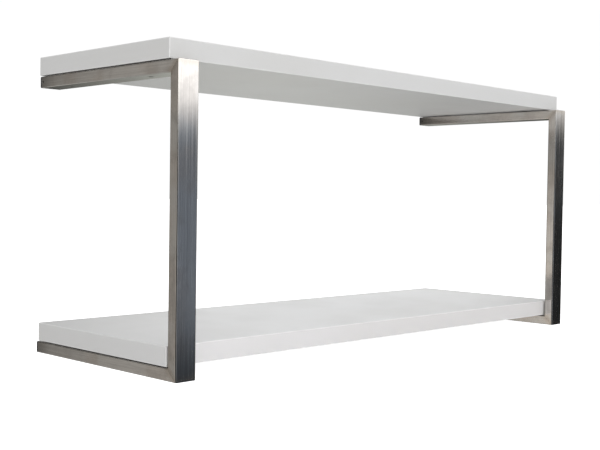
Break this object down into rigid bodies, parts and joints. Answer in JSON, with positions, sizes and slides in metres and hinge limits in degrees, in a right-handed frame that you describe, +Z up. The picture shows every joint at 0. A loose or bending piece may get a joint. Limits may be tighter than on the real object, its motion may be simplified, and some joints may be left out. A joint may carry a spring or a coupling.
{
  "type": "console table",
  "caption": "Console table: a thick white top and a matching low shelf carried by two C-shaped frames of brushed steel tube that are open at the back.",
  "frame": {"origin": "on the floor, under the middle of the table's overall footprint", "axes": "+X along the table to the right seen from the front, the posts stand at -Y and the open back faces +Y, +Z up"},
  "size_m": [1.4, 0.495, 0.652],
  "materials": {
    "lacquer": "white satin lacquer on fibreboard, edges eased",
    "frame_steel": "stainless steel, brushed along each tube, mitres ground flush",
    "cap_plastic": "black, fine grained",
    "screw_steel": "plain stainless button-head screw",
    "insert_brass": "turned",
    "spacer_rubber": "matt black"
  },
  "bodies": {
    "root": {"top_board": "lacquer", "shelf_board": "lacquer", "left_post": "frame_steel", "left_top_arm": "frame_steel", "left_top_end_cap": "cap_plastic", "left_shelf_arm": "frame_steel", "left_shelf_end_cap": "cap_plastic", "right_post": "frame_steel", "right_top_arm": "frame_steel", "right_top_end_cap": "cap_plastic", "right_shelf_arm": "frame_steel", "right_shelf_end_cap": "cap_plastic", "left_top_front_screw": "screw_steel", "left_top_front_insert": "insert_brass", "left_top_front_spacer": "spacer_rubber", "left_top_back_screw": "screw_steel", "left_top_back_insert": "insert_brass", "left_top_back_spacer": "spacer_rubber", "right_top_front_screw": "screw_steel", "right_top_front_insert": "insert_brass", "right_top_front_spacer": "spacer_rubber", "right_top_back_screw": "screw_steel", "right_top_back_insert": "insert_brass", "right_top_back_spacer": "spacer_rubber", "left_shelf_front_screw": "screw_steel", "left_shelf_front_insert": "insert_brass", "left_shelf_front_spacer": "spacer_rubber", "left_shelf_back_screw": "screw_steel", "left_shelf_back_insert": "insert_brass", "left_shelf_back_spacer": "spacer_rubber", "right_shelf_front_screw": "screw_steel", "right_shelf_front_insert": "insert_brass", "right_shelf_front_spacer": "spacer_rubber", "right_shelf_back_screw": "screw_steel", "right_shelf_back_insert": "insert_brass", "right_shelf_back_spacer": "spacer_rubber"}
  },
  "joints": []
}
